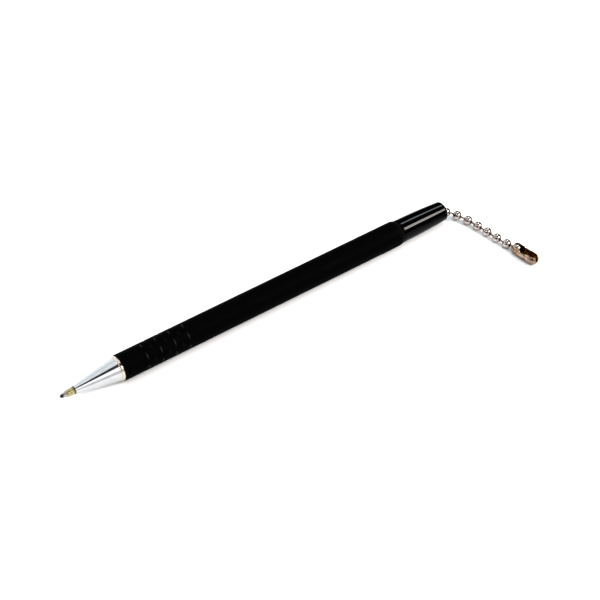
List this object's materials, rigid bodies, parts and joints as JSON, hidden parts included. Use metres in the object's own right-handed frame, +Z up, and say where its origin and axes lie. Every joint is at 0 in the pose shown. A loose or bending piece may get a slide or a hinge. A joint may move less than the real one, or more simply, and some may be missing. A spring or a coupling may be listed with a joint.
{
  "type": "counter ballpoint pen with bead chain",
  "caption": "Ballpoint pen for a public counter: bright nose cone, matte barrel with notched grip, gloss rear plug and a short bead chain that ends in an open chain coupling.",
  "frame": {"origin": "centre of the footprint of the pen and its chain as they lie, at the height of the surface they lie on", "axes": "+X along the pen from the writing tip to the rear plug, +Z up from the surface, the chain runs off towards -Y"},
  "size_m": [0.163, 0.0412, 0.0087],
  "materials": {
    "barrel_black": "soft-touch matte black",
    "cone_chrome": "polished bright plating",
    "point_metal": "turned nickel silver",
    "ball_carbide": "ground carbide",
    "tube_plastic": "translucent tube",
    "ink_black": "wet ink",
    "grease": "clear grease",
    "stop_plastic": "moulded natural plastic",
    "plug_black": "high gloss black",
    "retainer_steel": "stamped sheet",
    "bead_nickel": "bright nickel plating",
    "pin_nickel": "drawn nickel-plated wire",
    "coupling_brass": "brass-tinted sheet, bright"
  },
  "bodies": {
    "pen": {"barrel": "barrel_black", "nose_cone": "cone_chrome", "refill_point": "point_metal", "ink_tube": "tube_plastic", "ink": "ink_black", "grease_plug": "grease", "refill_stop": "stop_plastic", "rear_plug": "plug_black", "chain_retainer": "retainer_steel"},
    "writing_ball": {"writing_ball": "ball_carbide"},
    "bead_0": {"bead_0": "bead_nickel"},
    "pin_1": {"pin_1": "pin_nickel"},
    "bead_1": {"bead_1": "bead_nickel"},
    "pin_2": {"pin_2": "pin_nickel"},
    "bead_2": {"bead_2": "bead_nickel"},
    "pin_3": {"pin_3": "pin_nickel"},
    "bead_3": {"bead_3": "bead_nickel"},
    "pin_4": {"pin_4": "pin_nickel"},
    "bead_4": {"bead_4": "bead_nickel"},
    "pin_5": {"pin_5": "pin_nickel"},
    "bead_5": {"bead_5": "bead_nickel"},
    "pin_6": {"pin_6": "pin_nickel"},
    "bead_6": {"bead_6": "bead_nickel"},
    "pin_7": {"pin_7": "pin_nickel"},
    "bead_7": {"bead_7": "bead_nickel"},
    "pin_8": {"pin_8": "pin_nickel"},
    "bead_8": {"bead_8": "bead_nickel"},
    "coupling": {"coupling": "coupling_brass"}
  },
  "joints": [
    {"name": "ball_roll", "type": "hinge", "parent": "pen", "child": "writing_ball", "pos_m": [-0.08096, 0.01629, 0.00435], "axis": [0, 1, 0], "continuous": true},
    {"name": "chain_swivel", "type": "hinge", "parent": "pen", "child": "bead_0", "pos_m": [0.06634, 0.01629, 0.00435], "axis": [1, 0, 0], "continuous": true},
    {"name": "pin_1_tilt", "type": "hinge", "parent": "bead_0", "child": "pin_1", "pos_m": [0.06774, 0.01629, 0.00425], "axis": [0, -1, 0], "range_deg": [-2, 39.5]},
    {"name": "bead_1_turn", "type": "hinge", "parent": "pin_1", "child": "bead_1", "pos_m": [0.06916, 0.01627, 0.00376], "axis": [0, 0, 1], "range_deg": [-10, 42]},
    {"name": "pin_2_turn", "type": "hinge", "parent": "bead_1", "child": "pin_2", "pos_m": [0.0716, 0.01552, 0.00263], "axis": [0, 0, -1], "range_deg": [-47.5, 1.5]},
    {"name": "bead_2_tilt", "type": "hinge", "parent": "pin_2", "child": "bead_2", "pos_m": [0.07271, 0.01459, 0.00224], "axis": [0.6428, 0.766, 0], "range_deg": [-5.5, 15.5]},
    {"name": "pin_3_turn", "type": "hinge", "parent": "bead_2", "child": "pin_3", "pos_m": [0.07397, 0.01212, 0.0018], "axis": [0, 0, 1], "range_deg": [-28, 22]},
    {"name": "bead_3_tilt", "type": "hinge", "parent": "pin_3", "child": "bead_3", "pos_m": [0.07471, 0.01084, 0.0016], "axis": [-0.866, -0.5, 0], "range_deg": [-25, 10]},
    {"name": "pin_4_turn", "type": "hinge", "parent": "bead_3", "child": "pin_4", "pos_m": [0.07529, 0.0081, 0.0016], "axis": [0, 0, -1], "range_deg": [-28.5, 20.5]},
    {"name": "bead_4_tilt", "type": "hinge", "parent": "pin_4", "child": "bead_4", "pos_m": [0.0755, 0.00661, 0.0016], "axis": [0.9903, 0.1392, 0], "range_deg": [-24.5, 24.5]},
    {"name": "pin_5_turn", "type": "hinge", "parent": "bead_4", "child": "pin_5", "pos_m": [0.07599, 0.00385, 0.0016], "axis": [0, 0, 1], "range_deg": [-23, 27]},
    {"name": "bead_5_tilt", "type": "hinge", "parent": "pin_5", "child": "bead_5", "pos_m": [0.0762, 0.00237, 0.0016], "axis": [-0.9903, -0.1392, 0], "range_deg": [-24.5, 24.5]},
    {"name": "pin_6_turn", "type": "hinge", "parent": "bead_5", "child": "pin_6", "pos_m": [0.07654, -0.00041, 0.0016], "axis": [0, 0, -1], "range_deg": [-24, 26]},
    {"name": "bead_6_tilt", "type": "hinge", "parent": "pin_6", "child": "bead_6", "pos_m": [0.07675, -0.0019, 0.0016], "axis": [0.9903, 0.1392, 0], "range_deg": [-24.5, 24.5]},
    {"name": "pin_7_turn", "type": "hinge", "parent": "bead_6", "child": "pin_7", "pos_m": [0.07719, -0.00466, 0.0016], "axis": [0, 0, 1], "range_deg": [-26.5, 22.5]},
    {"name": "bead_7_tilt", "type": "hinge", "parent": "pin_7", "child": "bead_7", "pos_m": [0.07747, -0.00613, 0.0015], "axis": [-0.9816, -0.1908, 0], "range_deg": [-32.5, 17]},
    {"name": "pin_8_turn", "type": "hinge", "parent": "bead_7", "child": "pin_8", "pos_m": [0.07805, -0.00886, 0.0017], "axis": [0, 0, -1], "range_deg": [-26, 24]},
    {"name": "coupling_swivel", "type": "hinge", "parent": "pin_8", "child": "bead_8", "pos_m": [0.07834, -0.01033, 0.00185], "axis": [0.1898, -0.9763, 0.1043], "continuous": true},
    {"name": "coupling_tilt", "type": "hinge", "parent": "bead_8", "child": "coupling", "pos_m": [0.0786, -0.01169, 0.002], "axis": [-0.9925, -0.1219, 0], "range_deg": [-5, 80]}
  ]
}
